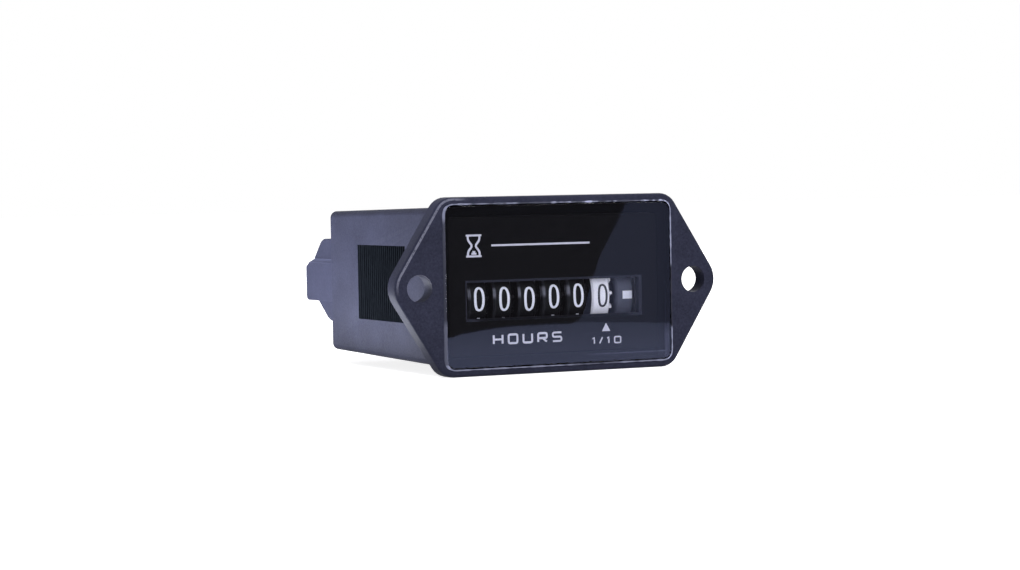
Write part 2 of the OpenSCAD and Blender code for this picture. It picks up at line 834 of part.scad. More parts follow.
module coil_winding() {
    color(copper)
        coil_tube(coil_d / 2, bobbin_r + fit_gap, coil_y + coil_flange_t, coil_l - 2 * coil_flange_t);
}

module coil_pins() {
    start_y = coil_y + coil_l;
    color(brass)
        for (s = [-1, 1])
            translate([coil_x + s * coil_pin_in, 0, coil_z + coil_pin_in])
                plate_y(start_y, board_back_y + pin_end - start_y) circle(coil_pin_r, $fn = small_fn);
}

module stator_screws() {
    head_x = stator_x + stator_t;
    color(steel)
        for (y = leg_y) {
            along_x(head_x, [y, coil_z]) cylinder(r = coil_screw_head_r, h = coil_screw_head_h);
            along_x(bay_x, [y, coil_z]) cylinder(r = coil_screw_r, h = head_x - bay_x + eps);
        }
}

// Electronics

module circuit_board() {
    color(board_green)
        difference() {
            plate_y(board_y, board_t) square([board_w, board_h], center = true);
            for (s = [-1, 1]) {
                translate([s * terminal_spacing / 2, 0, 0]) plate_y(board_y - eps, board_t + 2 * eps)
                    square([tail_w + 2 * solder_gap, blade_t + 2 * solder_gap], center = true);
                translate([coil_x + s * coil_pin_in, 0, coil_z + coil_pin_in])
                    plate_y(board_y - eps, board_t + 2 * eps) circle(coil_pin_r + solder_gap, $fn = small_fn);
            }
        }
}

module timer_chip() {
    lead_y = board_y - chip_stand - chip_t / 2;
    last_lead = chip_leads - 1;
    color(black_plastic)
        translate([chip_at[0], 0, chip_at[1]]) {
            plate_y(board_y - chip_stand - chip_t, chip_t) square([chip_w, chip_h], center = true);
            for (k = [0 : last_lead], s = [-1, 1])
                translate([s * (chip_w + chip_lead_out) / 2, 0, (k - last_lead / 2) * chip_lead_step]) {
                    plate_y(lead_y, chip_lead_t) square([chip_lead_out + eps, chip_lead_w], center = true);
                    translate([s * (chip_lead_out - chip_lead_t) / 2, 0, 0])
                        plate_y(lead_y, board_y - lead_y) square([chip_lead_t, chip_lead_w], center = true);
                }
        }
}

module crystal() {
    color(steel)
        along_x(crystal_at[0], [board_y - crystal_r, crystal_at[1]]) {
            cylinder(r = crystal_r, h = crystal_l);
            cylinder(r = crystal_r - crystal_foot, h = crystal_l + crystal_foot);
        }
}

module capacitor() {
    r = capacitor_d / 2;
    groove = capacitor_groove;
    color([0.15, 0.18, 0.3])
        translate([capacitor_at[0], board_y, capacitor_at[1]]) rotate([90, 0, 0])
            rotate_extrude()
                polygon([
                    [0, 0], [r, 0], [r, capacitor_groove_in - groove], [r - groove, capacitor_groove_in],
                    [r, capacitor_groove_in + groove], [r, capacitor_h - groove],
                    [r - groove, capacitor_h], [0, capacitor_h]
                ]);
}

// A small part lying along Z on two bent leads
module axial_part(at, r, l, tint) {
    reach = l / 2 + lead_out;
    lift = r + lead_lift;
    color(tint)
        translate([at[0], board_y - lift, at[1]]) {
            cylinder(r = r, h = l, center = true);
            cylinder(r = lead_r, h = 2 * reach, center = true, $fn = small_fn);
            for (s = [-1, 1])
                translate([0, 0, s * (reach - lead_r)]) rotate([-90, 0, 0])
                    cylinder(r = lead_r, h = lift, $fn = small_fn);
        }
}

// A blade lying flat, with a shoulder inside the case and a narrow tail in the board
module terminal(s) {
    half = blade_w / 2;
    color(brass)
        translate([s * terminal_spacing / 2, 0, -blade_t / 2]) linear_extrude(blade_t)
            difference() {
                polygon([
                    [-tail_w / 2, board_y], [tail_w / 2, board_y], [tail_w / 2, shoulder_y],
                    [shoulder_w / 2, shoulder_y], [shoulder_w / 2, case_floor_y], [half, case_floor_y],
                    [half, blade_end_y - blade_tip], [half - blade_tip, blade_end_y],
                    [blade_tip - half, blade_end_y], [-half, blade_end_y - blade_tip],
                    [-half, case_floor_y], [-shoulder_w / 2, case_floor_y], [-shoulder_w / 2, shoulder_y],
                    [-tail_w / 2, shoulder_y]
                ]);
                translate([0, blade_end_y - blade_hole_in]) circle(blade_hole_r);
            }
}

housing();
lens();
dial_plate();
counter_frame();
train_plate();
train_screws();
wheel_shaft();
pinion_shaft();
train_pin(second_axis);  // gear_pin
train_pin(rotor_axis);  // rotor_pin
number_wheel(0, black_plastic);  // wheel_ten_thousands
number_wheel(1, black_plastic);  // wheel_thousands
number_wheel(2, black_plastic);  // wheel_hundreds
number_wheel(3, black_plastic);  // wheel_tens
number_wheel(4, black_plastic);  // wheel_units
number_wheel(last_wheel, white_plastic);  // wheel_tenths
carry_pinion(0);  // pinion_ten_thousands
carry_pinion(1);  // pinion_thousands
carry_pinion(2);  // pinion_hundreds
carry_pinion(3);  // pinion_tens
carry_pinion(4);  // pinion_units
run_indicator();
drive_gear();
second_gear();
rotor_pinion();
rotor_magnet();
stator();
coil_core();
coil_bobbin();
coil_winding();
coil_pins();
stator_screws();
circuit_board();
timer_chip();
crystal();
capacitor();
axial_part(resistor_at, resistor_r, resistor_l, gear_plastic);  // resistor
axial_part(diode_at, diode_r, diode_l, black_plastic);  // diode
terminal(-1);  // terminal_left
terminal(1);  // terminal_right
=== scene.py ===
import json
import math

import bmesh
import bpy
from mathutils import Matrix, Vector

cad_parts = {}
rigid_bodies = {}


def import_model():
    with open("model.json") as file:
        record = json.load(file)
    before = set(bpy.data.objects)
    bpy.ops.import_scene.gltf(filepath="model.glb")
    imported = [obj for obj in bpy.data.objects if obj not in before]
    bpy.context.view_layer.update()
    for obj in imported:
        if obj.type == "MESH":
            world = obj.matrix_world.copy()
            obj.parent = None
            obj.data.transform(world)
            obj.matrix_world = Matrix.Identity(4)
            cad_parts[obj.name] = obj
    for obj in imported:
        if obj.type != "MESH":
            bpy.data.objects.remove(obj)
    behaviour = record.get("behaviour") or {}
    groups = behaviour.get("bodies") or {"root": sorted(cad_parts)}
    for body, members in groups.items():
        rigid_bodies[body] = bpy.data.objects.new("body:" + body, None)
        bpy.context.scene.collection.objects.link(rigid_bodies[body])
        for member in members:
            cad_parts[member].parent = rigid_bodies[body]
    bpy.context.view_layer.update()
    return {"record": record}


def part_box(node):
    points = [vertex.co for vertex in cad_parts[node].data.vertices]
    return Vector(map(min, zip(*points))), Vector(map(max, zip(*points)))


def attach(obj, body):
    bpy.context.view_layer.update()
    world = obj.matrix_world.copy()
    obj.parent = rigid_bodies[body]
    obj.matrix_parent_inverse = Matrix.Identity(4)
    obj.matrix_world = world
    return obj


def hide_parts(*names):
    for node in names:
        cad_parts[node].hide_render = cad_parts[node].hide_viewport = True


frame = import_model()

# Units and places read off the frame, in millimetres
MM = 0.001


def box_mm(node):
    low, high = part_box(node)
    return Vector(low) / MM, Vector(high) / MM


lens_low, lens_high = box_mm("lens")
dial_low, dial_high = box_mm("dial_plate")
housing_low, housing_high = box_mm("housing")
drum_low, drum_high = box_mm("run_indicator")
lens_front = lens_low.y
dial_front = dial_low.y
LENS_STANDS_OUT = 0.2
flange_front = lens_front + LENS_STANDS_OUT
PLACES = ["ten_thousands", "thousands", "hundreds", "tens", "units", "tenths"]
wheel_low, wheel_high = box_mm("wheel_tenths")
wheel_radius = (wheel_high.y - wheel_low.y) / 2
axis_y = (wheel_high.y + wheel_low.y) / 2
axis_z = (wheel_high.z + wheel_low.z) / 2
drum_radius = (drum_high.y - drum_low.y) / 2
ring_thickness = 0.55
band_width = 3.35
wheel_pitch = box_mm("wheel_units")[1].x - box_mm("wheel_tens")[1].x


def band_left(place):
    """Where the printed band of a wheel starts."""
    return box_mm("wheel_" + place)[1].x - ring_thickness - band_width


# Places that no box of the frame gives, as the part's source gives them
case_rear = 46.995
window_half = Vector((16.0, 2.95))
hole_x = 25.4
hole_radius = 2.2
panel_low = Vector((-21.5, 12.95, -6.32))
panel_high = Vector((-18.5, 33.85, 6.52))
block_half_width = 19.2
block_half_height = 3.85
block_chamfer = 0.8


# Modelling helpers

def pick(piece):
    """Makes one piece the only selected one."""
    if bpy.context.object and bpy.context.object.mode != "OBJECT":
        bpy.ops.object.mode_set(mode="OBJECT")
    bpy.ops.object.select_all(action="DESELECT")
    piece.select_set(True)
    bpy.context.view_layer.objects.active = piece


def edit(piece, mode="FACE"):
    """Opens a piece in edit mode with all of it selected."""
    pick(piece)
    bpy.ops.object.mode_set(mode="EDIT")
    bpy.ops.mesh.select_mode(type=mode)
    bpy.ops.mesh.select_all(action="SELECT")


def close():
    """Leaves edit mode."""
    bpy.ops.object.mode_set(mode="OBJECT")


def apply_modifier(piece, kind, **settings):
    """Adds one modifier with its settings and applies it."""
    pick(piece)
    modifier = piece.modifiers.new(kind.lower(), kind)
    for name, value in settings.items():
        setattr(modifier, name, value)
    bpy.ops.object.modifier_apply(modifier=modifier.name)


def smooth(piece, degrees=35):
    """Smooth shading that leaves flat faces flat and edges crisp."""
    pick(piece)
    bpy.ops.object.shade_smooth_by_angle(angle=math.radians(degrees))
    apply_modifier(piece, "WEIGHTED_NORMAL", keep_sharp=True)


def solid_copy(node, name):
    """A copy of a node's solid with its corners merged and its flat faces joined."""
    piece = bpy.data.objects.new(name, bpy.data.objects[node].data.copy())
    bpy.context.collection.objects.link(piece)
    edit(piece)
    bpy.ops.mesh.remove_doubles(threshold=0.002 * MM)
    bpy.ops.mesh.dissolve_limited(angle_limit=math.radians(0.4))
    close()
    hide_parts(node)
    return piece


def select_edges(piece, wanted, sharpness=35):
    """Selects the convex edges sharper than an angle whose middle, in mm, is wanted."""
    edit(piece, "EDGE")
    mesh = bmesh.from_edit_mesh(piece.data)
    for edge in mesh.edges:
        keep = len(edge.link_faces) == 2 and edge.is_convex
        keep = keep and edge.calc_face_angle() > math.radians(sharpness)
        keep = keep and wanted((edge.verts[0].co + edge.verts[1].co) / 2 / MM)
        edge.select_set(keep)
    mesh.select_flush_mode()
    bmesh.update_edit_mesh(piece.data)


def round_edges(piece, wanted, width, segments=2, sharpness=35):
    """Rounds the chosen edges of a piece by a width in mm."""
    select_edges(piece, wanted, sharpness)
    bpy.ops.mesh.bevel(offset=width * MM, segments=segments, profile=0.5, clamp_overlap=True)
    close()


def finish_piece(piece, body, finish):
    """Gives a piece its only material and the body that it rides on."""
    piece.data.materials.clear()
    piece.data.materials.append(finish)
    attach(piece, body)
    return piece


# Strokes: print and beads drawn as flat or round lines

def arc(cx, cz, rx, rz, start, end, steps=24):
    """Points of an ellipse from one angle to another, in degrees."""
    turns = [math.radians(start + (end - start) * k / steps) for k in range(steps + 1)]
    return [(cx + rx * math.cos(t), cz + rz * math.sin(t)) for t in turns]


def rounded_line(corners, radius, closed=False, steps=6):
    """A line through corners, each rounded by an arc that starts a radius before it."""
    count = len(corners)
    points = []
    for k, corner in enumerate(corners):
        here = Vector(corner)
        if not closed and k in (0, count - 1):
            points.append(tuple(here))
            continue
        before = Vector(corners[k - 1]) - here
        after = Vector(corners[(k + 1) % count]) - here
        start = here + before.normalized() * min(radius, before.length / 2)
        end = here + after.normalized() * min(radius, after.length / 2)
        for j in range(steps + 1):
            t = j / steps
            points.append(tuple(start * (1 - t) ** 2 + here * (2 * t * (1 - t)) + end * t * t))
    return points


def dense(points, step):
    """The same line with points no further apart than a step."""
    result = [points[0]]
    for first, last in zip(points, points[1:]):
        gap = Vector(last) - Vector(first)
        parts = max(1, math.ceil(gap.length / step))
        result += [tuple(Vector(first) + gap * (k / parts)) for k in range(1, parts + 1)]
    return result


def placed(line, left, bottom, width, height):
    """A stroke scaled from its cell and set in its place."""
    return [None if p is None else (left + p[0] * width, bottom + p[1] * height) for p in line]


def stroke_mesh(name, lines, width, radii=None, step=0.25):
    """Round strokes of a width along lines of (x, z) points in mm, at y = 0; None closes a line."""
    curve = bpy.data.curves.new(name, "CURVE")
    curve.dimensions = "3D"
    curve.bevel_depth = width / 2 * MM
    curve.bevel_resolution = 1
    curve.use_fill_caps = True
    for line in lines:
        loop = line[-1] is None
        points = dense(line[:-1] + line[:1], step)[:-1] if loop else dense(line, step)
        spline = curve.splines.new("POLY")
        spline.points.add(len(points) - 1)
        spline.use_cyclic_u = loop
        for k, (x, z) in enumerate(points):
            spline.points[k].co = (x * MM, 0, z * MM, 1)
            spline.points[k].radius = radii(x, z) if radii else 1
    piece = bpy.data.objects.new(name, curve)
    bpy.context.collection.objects.link(piece)
    pick(piece)
    bpy.ops.object.convert(target="MESH")
    return bpy.context.object


def flatten(piece, thickness, width, y, swell=1.0, x=0.0):
    """Presses a stroke mesh to a thickness, widens it and sets its middle at x and a depth y, in mm."""
    edit(piece, "VERT")
    bpy.ops.transform.resize(value=(swell, thickness / width, 1), center_override=(0, 0, 0))
    bpy.ops.transform.translate(value=(x * MM, y * MM, 0))
    close()


def wrap_on_wheel(piece, radius, lift, turn=0):
    """Bends a piece that lies flat at y = 0 round the wheel axis, its front on the radius."""
    for vertex in piece.data.vertices:
        x, y, z = vertex.co / MM
        angle = z / radius + math.radians(turn)
        reach = radius + lift - y
        vertex.co = Vector((x, axis_y - reach * math.cos(angle), axis_z + reach * math.sin(angle))) * MM


# Shader expressions

class Value:
    """A shader socket that plain sums and products can be written with."""

    def __init__(self, finish, socket):
        self.finish = finish
        self.socket = socket

    def maths(self, operation, first, second):
        return self.finish.add("ShaderNodeMath", {"operation": operation}, {0: first, 1: second})

    def __add__(self, other):
        return self.maths("ADD", self, other)

    def __radd__(self, other):
        return self.maths("ADD", other, self)

    def __sub__(self, other):
        return self.maths("SUBTRACT", self, other)

    def __rsub__(self, other):
        return self.maths("SUBTRACT", other, self)

    def __mul__(self, other):
        return self.maths("MULTIPLY", self, other)

    def __rmul__(self, other):
        return self.maths("MULTIPLY", other, self)

    def __gt__(self, other):
        return self.maths("GREATER_THAN", self, other)

    def __lt__(self, other):
        return self.maths("LESS_THAN", self, other)


class Finish:
    """One material and the nodes that are added to it."""

    def __init__(self, name):
        self.material = bpy.data.materials.new(name)
        self.material.use_nodes = True
        self.tree = self.material.node_tree
        self.shader = self.tree.nodes["Principled BSDF"]
        self.output = self.tree.nodes["Material Output"]

    def connect(self, socket, value):
        """Links a value to a socket, or sets a plain number or colour on it."""
        if isinstance(value, Value):
            self.tree.links.new(value.socket, socket)
        else:
            socket.default_value = value

    def add(self, kind, settings=None, inputs=None, output=0):
        """Adds a node with its settings and the values or links of its sockets."""
        node = self.tree.nodes.new(kind)
        for name, value in (settings or {}).items():
            if name == "stops":
                ramp = node.color_ramp.elements
                while len(ramp) < len(value):
                    ramp.new(0.5)
                for element, (place, colour) in zip(ramp, value):
                    element.position = place
                    element.color = (*colour, 1)
            else:
                setattr(node, name, value)
        for name, value in (inputs or {}).items():
            self.connect(node.inputs[name], value)
        return Value(self, node.outputs[output])

    def set(self, **values):
        """Sets or links sockets of the main shader, named with _ for each space."""
        for name, value in values.items():
            self.connect(self.shader.inputs[name.replace("_", " ")], value)

    def surface(self, shader):
        """Shows another shader in place of the main one."""
        self.connect(self.output.inputs["Surface"], shader)

    def place(self, centre=(0, 0, 0), stretch=(1, 1, 1)):
        """Object coordinates in millimetres from a centre, stretched per axis."""
        coordinates = self.add("ShaderNodeTexCoord", output="Object")
        scale = [1 / MM * s for s in stretch]
        shift = [-c * s for c, s in zip(centre, stretch)]
        inputs = {"Vector": coordinates, "Scale": scale, "Location": shift}
        return self.add("ShaderNodeMapping", inputs=inputs)

    def axes(self, vector):
        return [self.add("ShaderNodeSeparateXYZ", inputs={0: vector}, output=k) for k in range(3)]

    def size(self, value):
        return self.add("ShaderNodeMath", {"operation": "ABSOLUTE"}, {0: value})

    def noise(self, vector, scale, detail=2.0, roughness=0.5):
        inputs = {"Vector": vector, "Scale": scale, "Detail": detail, "Roughness": roughness}
        return self.add("ShaderNodeTexNoise", inputs=inputs)

    def ramp(self, factor, *stops):
        return self.add("ShaderNodeValToRGB", {"stops": stops}, {"Fac": factor})

    def mix(self, factor, first, second):
        inputs = {0: factor, 6: first, 7: second}
        return self.add("ShaderNodeMix", {"data_type": "RGBA"}, inputs, output=2)

    def step(self, value, low, high):
        """Goes smoothly from 0 at low to 1 at high."""
        inputs = {0: value, 1: low, 2: high, 3: 0.0, 4: 1.0}
        return self.add("ShaderNodeMapRange", {"interpolation_type": "SMOOTHSTEP"}, inputs)

    def clamp(self, value):
        return self.add("ShaderNodeClamp", inputs={0: value})

    def bump(self, height, distance, strength=1.0):
        inputs = {"Height": height, "Distance": distance * MM, "Strength": strength}
        return self.add("ShaderNodeBump", inputs=inputs)


def tinted(colour, factor):
    """A colour made darker or lighter by a factor."""
    return [c * factor for c in colour]


# Finishes

def moulded(name, colour, roughness, grain, depth, specular=0.35):
    """Moulded plastic: soft clouding of the colour and a fine grain."""
    fin = Finish(name)
    place = fin.place()
    cloud = fin.noise(place, 0.35, 3)
    fine = fin.noise(place, grain, 3, 0.6)
    clouding = cloud * 0.5 + fine * 0.5
    tint = fin.ramp(clouding, (0.3, tinted(colour, 0.86)), (0.7, tinted(colour, 1.14)))
    fin.set(Base_Color=tint, Roughness=roughness - 0.08 + cloud * 0.16, Normal=fin.bump(fine, depth))
    fin.set(Specular_IOR_Level=specular)
    return fin.material


def turned_metal(name, colour, roughness, along):
    """Metal with fine marks drawn out along one axis."""
    fin = Finish(name)
    stretch = [0.15 if axis == along else 6.0 for axis in range(3)]
    marks = fin.noise(fin.place(stretch=stretch), 2.0, 4, 0.6)
    cloud = fin.noise(fin.place(), 0.6, 2)
    clouding = marks * 0.6 + cloud * 0.4
    tint = fin.ramp(clouding, (0.3, tinted(colour, 0.8)), (0.7, tinted(colour, 1.1)))
    fin.set(Base_Color=tint, Metallic=1.0, Roughness=roughness - 0.1 + marks * 0.2,
            Normal=fin.bump(marks, 0.01))
    return fin.material


MOULDING_DARK = (0.0195, 0.0209, 0.0372)
MOULDING_PALE = (0.0395, 0.0419, 0.0738)
REAR_PALE_AND_HIGHLIGHT_GREY = (0.047, 0.050, 0.089, 1)
SHOULDER_HIGHLIGHT_GREY = (0.075, 0.080, 0.138, 1)
EDGE_HIGHLIGHT_GREY = (0.165, 0.170, 0.230, 1)
PANEL_DARK = (0.0060, 0.0072, 0.0098)
PANEL_PALE = (0.0084, 0.0102, 0.0134)
LEDGE_SHADE_BLACK = (0.0020, 0.0022, 0.0030, 1)
LEDGE_GREY = (0.014, 0.014, 0.021, 1)
PALE_MARK_GREY = (0.075, 0.078, 0.13, 1)
LOW_LEDGE = -12.0
SEAT_GAP = 0.11


def housing_base(fin, place, grain):
    """The moulding's colour: eroded grain, a paler shroud and painted highlights on the rear edge, shoulder
    chamfers and lug's upper-left edge.
    """
    x, y, z = fin.axes(place)
    cloud = fin.noise(place, 0.16, 3)
    plain = fin.ramp(cloud * 0.35 + grain * 0.65, (0.32, MOULDING_DARK), (0.68, MOULDING_PALE))
    behind = y > case_rear + 0.05
    # Painted highlight along the case's rear edge; the shroud behind the case is also mixed paler
    rear_start = fin.step(y, case_rear - 0.8, case_rear - 0.5)
    rear_end = fin.step(y, case_rear + 0.05, case_rear - 0.1)
    highlit_moulding = fin.mix(rear_start * rear_end * 0.55 + behind * 0.33, plain, REAR_PALE_AND_HIGHLIGHT_GREY)
    # Painted highlight on the shroud's shoulder chamfers
    chamfer_place = block_half_width + block_half_height - block_chamfer - 0.15
    by_chamfer = (z < block_half_height - 0.13) * (z > block_half_height - 0.85)
    shoulder_highlight = behind * (fin.size(x) + z > chamfer_place) * by_chamfer
    highlit_moulding = fin.mix(shoulder_highlight, highlit_moulding, SHOULDER_HIGHLIGHT_GREY)
    # Painted highlight along the lug's upper-left front edge, broken up by the grain
    rim_edge = (y > flange_front + 0.01) * (y < flange_front + 0.15)
    upper_left = fin.step(x, -16.0, -19.0) * fin.step(z, -1.5, 2.0)
    return fin.mix(rim_edge * upper_left * fin.step(grain, 0.28, 0.5), highlit_moulding, EDGE_HIGHLIGHT_GREY)


def seat_colour(fin, place):
    """The ledge under the lens: black as painted shade, greyer at the lower right, with a pale line and a
    pale corner.
    """
    x, y, z = fin.axes(place)
    low_ledge = fin.step(z, LOW_LEDGE + 0.1, LOW_LEDGE - 0.1) * fin.step(x, 4.0, 14.0)
    line_top = fin.step(z, LOW_LEDGE + 0.15, LOW_LEDGE + 0.05)
    line_foot = fin.step(z, LOW_LEDGE - 0.15, LOW_LEDGE - 0.05)
    pale_line = line_top * line_foot * fin.step(x, 4.0, 9.0)
    pale_corner = fin.step(x, 20.6, 20.8) * fin.step(y, -2.1, -1.9) * fin.step(z, -7.0, -9.5)
    # The ledge's black is painted shade under the lens
    ledge = fin.mix(low_ledge, LEDGE_SHADE_BLACK, LEDGE_GREY)
    return fin.mix(fin.clamp(pale_line + pale_corner), ledge, PALE_MARK_GREY)


def housing_plastic():
    """Dark grey moulding with an eroded grain; the ribbed panel and the lens seat are matt and darker."""
    fin = Finish("housing_plastic")
    place = fin.place()
    x, y, z = fin.axes(place)
    grain = fin.noise(place, 3.2, 4, 0.65)
    speck = fin.noise(place, 1.4, 2, 0.5)
    grained = fin.bump(grain * 0.7 + speck * 0.3, 0.035)
    fin.set(Base_Color=housing_base(fin, place, grain), Roughness=0.5 + speck * 0.12, Normal=grained)
    fin.set(Specular_IOR_Level=0.04)
    along_panel = (y > panel_low.y) * (y < panel_high.y)
    panel = (x < panel_high.x) * along_panel * (z > panel_low.z) * (z < panel_high.z)
    inside_rim = (fin.size(x) < lens_high.x + SEAT_GAP) * (fin.size(z) < lens_high.z + SEAT_GAP)
    # The lens seat takes the ledge's black, painted as shade under the lens
    seat = inside_rim * (y < -0.1) * (y > flange_front + 0.05)
    dark = fin.ramp(speck, (0.3, PANEL_DARK), (0.7, PANEL_PALE))
    matt_colour = fin.mix(seat, dark, seat_colour(fin, place))
    matt = fin.add("ShaderNodeBsdfPrincipled", inputs={
        "Base Color": matt_colour, "Roughness": 0.9, "Specular IOR Level": 0.0, "Normal": grained})
    whole = Value(fin, fin.shader.outputs[0])
    mixed = fin.add("ShaderNodeMixShader", inputs={0: panel + seat, 1: whole, 2: matt})
    fin.surface(mixed)
    return fin.material


def lens_clear():
    """Polished clear plastic: clear to look through, with its gloss on the flat front alone."""
    fin = Finish("lens_clear")
    fresnel = fin.add("ShaderNodeFresnel", inputs={"IOR": 1.49})
    inside = fin.add("ShaderNodeNewGeometry", output="Backfacing")
    clear = fin.add("ShaderNodeBsdfTransparent", inputs={0: (0.97, 0.975, 0.99, 1)})
    place = fin.place()
    front = fin.axes(place)[1] < lens_front + 0.02
    haze = fin.noise(place, 0.5, 3)
    gloss = fin.add("ShaderNodeBsdfGlossy", inputs={"Roughness": 0.004 + haze * 0.012})
    shine = fresnel * (1 - inside) * front
    mixed = fin.add("ShaderNodeMixShader", inputs={0: shine, 1: clear, 2: gloss})
    fin.surface(mixed)
    fin.tree.nodes.remove(fin.shader)
    return fin.material


def dial_print():
    """A plate printed black; the bevel round its window shows the grey plastic, darkened along the sill as
    painted shade.
    """
    fin = Finish("dial_black")
    place = fin.place()
    x, y, z = fin.axes(place)
    fine = fin.noise(place, 6.0, 3, 0.6)
    by_window = (fin.size(x) < window_half.x + 1.0) * (fin.size(z - axis_z) < window_half.y + 1.0)
    cut = fin.step(y, dial_front + 0.02, dial_front + 0.06) * by_window
    # Painted shade: the grey bevel is darkened along the window's sill
    sill_shade = fin.step(z, axis_z - 2.0, axis_z - 2.6) * fin.step(fin.size(x), 15.0, 13.0)
    face = fin.ramp(fine, (0.3, (0.0014, 0.0014, 0.0020)), (0.7, (0.0020, 0.0020, 0.0027)))
    edge = fin.ramp(fine, (0.3, (0.020, 0.021, 0.032)), (0.7, (0.030, 0.032, 0.048)))
    colour = fin.mix(cut * (1 - sill_shade * 0.8), face, edge)
    fin.set(Base_Color=colour, Roughness=0.45 + fine * 0.1, Normal=fin.bump(fine, 0.006))
    fin.set(Specular_IOR_Level=0.03)
    return fin.material


def black_band():
    """Black moulding, with a painted highlight along a stretch of each wheel's left edge."""
    fin = Finish("wheel_black")
    place = fin.place((band_left("ten_thousands"), axis_y, axis_z))
    along, _, height = fin.axes(place)
    fine = fin.noise(place, 5.0, 3, 0.6)
    patch = fin.noise(place, 0.9, 2)
    across = fin.add("ShaderNodeMath", {"operation": "FLOORED_MODULO"}, {0: along, 1: wheel_pitch})
    stretch = fin.step(height, -0.1, 0.8) * fin.step(height, 2.2, 1.4)
    # Painted highlight near each wheel's left edge, strongest over a stretch above the axis
    wheel_edge_highlight = fin.step(across, 0.55, 0.15) * (0.08 + stretch * 0.9) * (0.5 + patch)
    black = fin.ramp(fine, (0.3, (0.0018, 0.0018, 0.0026)), (0.7, (0.0028, 0.0028, 0.0038)))
    colour = fin.mix(wheel_edge_highlight, black, (0.22, 0.225, 0.28, 1))
    fin.set(Base_Color=colour, Roughness=0.42 - wheel_edge_highlight * 0.15, Normal=fin.bump(fine, 0.010))
    fin.set(Specular_IOR_Level=0.09)
    return fin.material


def white_band():
    """White moulding whose hub and sides are painted dark as shade: only the rim and the toothed ring are
    white.
    """
    fin = Finish("wheel_white")
    place = fin.place((band_left("tenths") + band_width, axis_y, axis_z))
    x, y, z = fin.axes(place)
    fine = fin.noise(place, 5.0, 3, 0.6)
    radius_squared = y * y + z * z
    rim = fin.step(radius_squared, (wheel_radius - 0.5) ** 2, (wheel_radius - 0.3) ** 2)
    ring = (x > 0.05) * (radius_squared > (wheel_radius - 2) ** 2)
    white = fin.ramp(fine, (0.3, (0.80, 0.80, 0.94)), (0.7, (0.94, 0.94, 1.0)))
    # The dark colour off the rim and ring is painted shade on the wheel's hub and sides
    colour = fin.mix(fin.clamp(rim + ring), (0.02, 0.02, 0.028, 1), white)
    fin.set(Base_Color=colour, Roughness=0.45 + fine * 0.1, Normal=fin.bump(fine, 0.008))
    fin.set(Specular_IOR_Level=0.2)
    return fin.material


def ink(name, colour, wear=0.12):
    """Printing ink, a little uneven in strength."""
    fin = Finish(name)
    place = fin.place()
    patch = fin.noise(place, 1.2, 3)
    fine = fin.noise(place, 9.0, 2)
    tint = fin.ramp(patch * 0.6 + fine * 0.4, (0.35, tinted(colour, 1 - wear)), (0.65, colour))
    fin.set(Base_Color=tint, Roughness=0.45 + patch * 0.2, Normal=fin.bump(fine, 0.004))
    return fin.material


WELD_CLEAR = (0.036, 0.038, 0.058, 1)
WELD_FROSTED = (0.53, 0.56, 0.80, 1)
WELD_NEAR, WELD_FAR = 1.0, 0.6


def weld_bead():
    """The seam round the lens: frosted and broken at the top, soft and wide at the lower left, with a
    painted highlight at its upper left corner.
    """
    fin = Finish("weld_bead")
    place = fin.place()
    x, _, z = fin.axes(place)
    run = fin.noise(place, 0.34, 3, 0.7)
    fine = fin.noise(place, 4.0, 3, 0.6)
    broken = fin.step(run + fine * 0.25, 0.55, 0.72)
    top = fin.step(z, lens_high.z - WELD_NEAR, lens_high.z - WELD_FAR)
    bottom = fin.step(z, lens_low.z + WELD_NEAR, lens_low.z + WELD_FAR)
    right = fin.step(x, lens_high.x - WELD_NEAR, lens_high.x - WELD_FAR)
    left = fin.step(x, lens_low.x + WELD_NEAR, lens_low.x + WELD_FAR)
    # Painted highlight at the seam's upper left corner
    corner = fin.step(x, -15.0, -17.0) * fin.step(z, 10.0, 11.5) * 0.3
    top_run = top * (broken * (0.35 + fin.step(x, -6.0, -1.0) * 0.5) + 0.06)
    right_run = right * (fin.step(z, 2.0, 3.5) + fin.step(z, -7.5, -8.5)) * 0.55
    left_foot = fin.step(z, -5.0, -6.5) * 0.13
    left_head = fin.step(z, 2.0, 9.0) * fine * 0.05
    left_run = left * (0.012 + left_foot + left_head)
    faint = fin.step(x, 1.0, 3.0) * fin.step(x, 12.0, 10.0)
    bottom_run = bottom * (0.28 + fine * 0.3) * (1 - faint * 0.6)
    frosted = fin.clamp(corner + top_run + right_run + left_run + bottom_run)
    colour = fin.mix(frosted, WELD_CLEAR, WELD_FROSTED)
    fin.set(Base_Color=colour, Roughness=0.4 + fine * 0.3, Normal=fin.bump(fine, 0.03))
    fin.set(Specular_IOR_Level=0.1)
    return fin.material


def circuit_green():
    """Solder mask over copper tracks that run across the board."""
    fin = Finish("board_green")
    place = fin.place()
    across = fin.place(stretch=(1, 0, 0.35))
    bands = fin.add("ShaderNodeTexWave", {"bands_direction": "X"},
                    {"Vector": across, "Scale": 0.35, "Distortion": 4.0, "Detail": 1.0})
    track = fin.step(bands, 0.55, 0.6)
    fine = fin.noise(place, 5.0, 2)
    colour = fin.mix(track, (0.02, 0.10, 0.045, 1), (0.04, 0.19, 0.08, 1))
    fin.set(Base_Color=colour, Roughness=0.3 + fine * 0.15, Normal=fin.bump(track + fine * 0.1, 0.03))
    return fin.material


